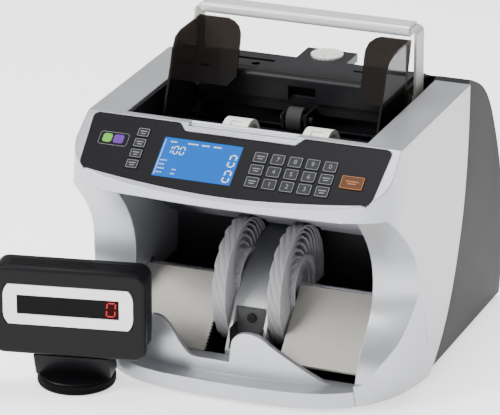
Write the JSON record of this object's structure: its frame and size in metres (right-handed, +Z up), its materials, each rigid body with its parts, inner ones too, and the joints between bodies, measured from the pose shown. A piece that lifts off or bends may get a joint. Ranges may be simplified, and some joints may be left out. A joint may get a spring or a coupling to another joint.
{
  "type": "banknote counting machine",
  "caption": "Front-loading banknote counter with a sloped panel, hopper with sliding guides, bladed stacker wheels, carrying handle and a separate customer display.",
  "frame": {"origin": "centre of the whole object's footprint, on the surface that it stands on", "axes": "+X to the operator's right, +Y to the rear, +Z up; the operator stands on the -Y side"},
  "size_m": [0.3612, 0.3718, 0.299],
  "materials": {
    "silver_paint": "satin metallic paint on moulded plastic",
    "charcoal_cover": "fine moulded grain",
    "black_panel": "smooth satin",
    "screen": "blue backlit screen",
    "circuit_board": "solder mask",
    "black_plastic": "satin moulded",
    "smoked_plastic": "smoked clear",
    "white_plastic": "smooth",
    "roller_rubber": "matte",
    "drive_rubber": "matte",
    "steel_shaft": "ground",
    "wheel_grey": "moulded",
    "guide_grey": "moulded",
    "brushed_plate": "brushed",
    "sheet_steel": "zinc plated",
    "socket_black": "moulded",
    "handle_steel": "satin beige",
    "handle_grip": "satin",
    "display_plastic": "fine grain",
    "display_window": "dark window",
    "key_plastic": "satin",
    "restart_key": "satin"
  },
  "bodies": {
    "chassis": {"base_tray": "sheet_steel", "rubber_feet": "roller_rubber", "side_frame_left": "sheet_steel", "side_frame_right": "sheet_steel", "main_housing": "silver_paint", "stacker_nose": "silver_paint", "rear_cover": "charcoal_cover", "cover_screws": "steel_shaft", "control_panel": "black_panel", "lcd_window": "screen", "main_board": "circuit_board", "hopper_tray": "black_plastic", "hopper_bridge": "black_plastic", "upper_guide_plate": "guide_grey", "stacker_plate_left": "brushed_plate", "stacker_plate_right": "brushed_plate", "centre_guide": "guide_grey", "exit_chassis": "black_plastic", "drive_motor": "sheet_steel", "drive_belt": "drive_rubber", "power_inlet": "socket_black"},
    "handle": {"handle_bail": "handle_steel", "handle_grip": "handle_grip"},
    "guide_left": {"guide_left": "smoked_plastic"},
    "guide_right": {"guide_right": "smoked_plastic"},
    "feed_gap_knob": {"feed_gap_knob": "white_plastic"},
    "feed_roller": {"feed_shaft": "steel_shaft", "feed_wheels": "white_plastic"},
    "retard_roller": {"retard_roller": "roller_rubber"},
    "transport_roller": {"transport_roller": "steel_shaft"},
    "stacker_rotor": {"stacker_shaft": "steel_shaft", "stacker_wheel_left": "wheel_grey", "stacker_wheel_right": "wheel_grey"},
    "motor_rotor": {"motor_rotor": "steel_shaft"},
    "power_switch": {"power_switch": "socket_black"},
    "display_stand": {"display_stand": "display_plastic"},
    "display_head": {"display_front_shell": "display_plastic", "display_rear_shell": "display_plastic", "display_bezel": "white_plastic", "display_window": "display_window"},
    "mode_key": {"mode_key": "key_plastic"},
    "batch_key": {"batch_key": "key_plastic"},
    "add_key": {"add_key": "key_plastic"},
    "speed_key": {"speed_key": "key_plastic"},
    "curr_key": {"curr_key": "key_plastic"},
    "key_7": {"key_7": "key_plastic"},
    "key_8": {"key_8": "key_plastic"},
    "key_9": {"key_9": "key_plastic"},
    "report_key": {"report_key": "key_plastic"},
    "ads_key": {"ads_key": "key_plastic"},
    "key_4": {"key_4": "key_plastic"},
    "key_5": {"key_5": "key_plastic"},
    "key_6": {"key_6": "key_plastic"},
    "clear_key": {"clear_key": "key_plastic"},
    "val_key": {"val_key": "key_plastic"},
    "key_1": {"key_1": "key_plastic"},
    "key_2": {"key_2": "key_plastic"},
    "key_3": {"key_3": "key_plastic"},
    "key_0": {"key_0": "key_plastic"},
    "restart_key": {"restart_key": "restart_key"}
  },
  "joints": [
    {"name": "handle_fold", "type": "hinge", "parent": "chassis", "child": "handle", "pos_m": [0.02659, 0.06322, 0.226], "axis": [-1, 0, 0], "range_deg": [0, 60]},
    {"name": "guide_left_slide", "type": "slide", "parent": "chassis", "child": "guide_left", "axis": [1, 0, 0], "range_m": [0, 0.046]},
    {"name": "guide_right_slide", "type": "slide", "parent": "chassis", "child": "guide_right", "axis": [-1, 0, 0], "range_m": [0, 0.046]},
    {"name": "feed_gap_turn", "type": "hinge", "parent": "chassis", "child": "feed_gap_knob", "pos_m": [0.02659, 0.11222, 0.242], "axis": [0, 0, 1], "range_deg": [-120, 120]},
    {"name": "stacker_spin", "type": "hinge", "parent": "chassis", "child": "stacker_rotor", "pos_m": [0.02659, -0.03478, 0.076], "axis": [1, 0, 0], "continuous": true},
    {"name": "feed_spin", "type": "hinge", "parent": "chassis", "child": "feed_roller", "pos_m": [0.02659, -0.00878, 0.195], "axis": [1, 0, 0], "continuous": true},
    {"name": "transport_spin", "type": "hinge", "parent": "chassis", "child": "transport_roller", "pos_m": [0.02659, 0.03922, 0.15], "axis": [1, 0, 0], "continuous": true},
    {"name": "motor_spin", "type": "hinge", "parent": "chassis", "child": "motor_rotor", "pos_m": [0.14659, 0.06122, 0.06], "axis": [1, 0, 0], "continuous": true},
    {"name": "retard_spin", "type": "hinge", "parent": "chassis", "child": "retard_roller", "pos_m": [0.02659, 0.03522, 0.206], "axis": [1, 0, 0], "continuous": true},
    {"name": "switch_rock", "type": "hinge", "parent": "chassis", "child": "power_switch", "pos_m": [-0.02741, 0.16872, 0.036], "axis": [1, 0, 0], "range_deg": [0, 12]},
    {"name": "display_lift", "type": "slide", "parent": "chassis", "child": "display_stand", "axis": [0, 0, 1], "range_m": [0, 0.04]},
    {"name": "display_tilt", "type": "hinge", "parent": "display_stand", "child": "display_head", "pos_m": [-0.11069, -0.15651, 0.052], "axis": [0.981, 0.1942, 0], "range_deg": [-14, 8]},
    {"name": "mode_key_press", "type": "slide", "parent": "chassis", "child": "mode_key", "axis": [0, 0.5878, -0.809], "range_m": [0, 0.0005], "stiffness_N_per_m": 1200, "springref_m": -0.0006},
    {"name": "batch_key_press", "type": "slide", "parent": "chassis", "child": "batch_key", "axis": [0, 0.5878, -0.809], "range_m": [0, 0.0005], "stiffness_N_per_m": 1200, "springref_m": -0.0006},
    {"name": "add_key_press", "type": "slide", "parent": "chassis", "child": "add_key", "axis": [0, 0.5878, -0.809], "range_m": [0, 0.0005], "stiffness_N_per_m": 1200, "springref_m": -0.0006},
    {"name": "speed_key_press", "type": "slide", "parent": "chassis", "child": "speed_key", "axis": [0, 0.5878, -0.809], "range_m": [0, 0.0005], "stiffness_N_per_m": 1200, "springref_m": -0.0006},
    {"name": "curr_key_press", "type": "slide", "parent": "chassis", "child": "curr_key", "axis": [0, 0.5878, -0.809], "range_m": [0, 0.0005], "stiffness_N_per_m": 1200, "springref_m": -0.0006},
    {"name": "key_7_press", "type": "slide", "parent": "chassis", "child": "key_7", "axis": [0, 0.5878, -0.809], "range_m": [0, 0.0005], "stiffness_N_per_m": 1200, "springref_m": -0.0006},
    {"name": "key_8_press", "type": "slide", "parent": "chassis", "child": "key_8", "axis": [0, 0.5878, -0.809], "range_m": [0, 0.0005], "stiffness_N_per_m": 1200, "springref_m": -0.0006},
    {"name": "key_9_press", "type": "slide", "parent": "chassis", "child": "key_9", "axis": [0, 0.5878, -0.809], "range_m": [0, 0.0005], "stiffness_N_per_m": 1200, "springref_m": -0.0006},
    {"name": "report_key_press", "type": "slide", "parent": "chassis", "child": "report_key", "axis": [0, 0.5878, -0.809], "range_m": [0, 0.0005], "stiffness_N_per_m": 1200, "springref_m": -0.0006},
    {"name": "ads_key_press", "type": "slide", "parent": "chassis", "child": "ads_key", "axis": [0, 0.5878, -0.809], "range_m": [0, 0.0005], "stiffness_N_per_m": 1200, "springref_m": -0.0006},
    {"name": "key_4_press", "type": "slide", "parent": "chassis", "child": "key_4", "axis": [0, 0.5878, -0.809], "range_m": [0, 0.0005], "stiffness_N_per_m": 1200, "springref_m": -0.0006},
    {"name": "key_5_press", "type": "slide", "parent": "chassis", "child": "key_5", "axis": [0, 0.5878, -0.809], "range_m": [0, 0.0005], "stiffness_N_per_m": 1200, "springref_m": -0.0006},
    {"name": "key_6_press", "type": "slide", "parent": "chassis", "child": "key_6", "axis": [0, 0.5878, -0.809], "range_m": [0, 0.0005], "stiffness_N_per_m": 1200, "springref_m": -0.0006},
    {"name": "clear_key_press", "type": "slide", "parent": "chassis", "child": "clear_key", "axis": [0, 0.5878, -0.809], "range_m": [0, 0.0005], "stiffness_N_per_m": 1200, "springref_m": -0.0006},
    {"name": "val_key_press", "type": "slide", "parent": "chassis", "child": "val_key", "axis": [0, 0.5878, -0.809], "range_m": [0, 0.0005], "stiffness_N_per_m": 1200, "springref_m": -0.0006},
    {"name": "key_1_press", "type": "slide", "parent": "chassis", "child": "key_1", "axis": [0, 0.5878, -0.809], "range_m": [0, 0.0005], "stiffness_N_per_m": 1200, "springref_m": -0.0006},
    {"name": "key_2_press", "type": "slide", "parent": "chassis", "child": "key_2", "axis": [0, 0.5878, -0.809], "range_m": [0, 0.0005], "stiffness_N_per_m": 1200, "springref_m": -0.0006},
    {"name": "key_3_press", "type": "slide", "parent": "chassis", "child": "key_3", "axis": [0, 0.5878, -0.809], "range_m": [0, 0.0005], "stiffness_N_per_m": 1200, "springref_m": -0.0006},
    {"name": "key_0_press", "type": "slide", "parent": "chassis", "child": "key_0", "axis": [0, 0.5878, -0.809], "range_m": [0, 0.0005], "stiffness_N_per_m": 1200, "springref_m": -0.0006},
    {"name": "restart_key_press", "type": "slide", "parent": "chassis", "child": "restart_key", "axis": [0, 0.5878, -0.809], "range_m": [0, 0.0005], "stiffness_N_per_m": 1200, "springref_m": -0.0006}
  ],
  "couplings": [
    {"joint": "feed_spin", "follows": "stacker_spin", "ratio": 1.2},
    {"joint": "transport_spin", "follows": "stacker_spin", "ratio": 1.2},
    {"joint": "motor_spin", "follows": "stacker_spin", "ratio": 1.2}
  ]
}
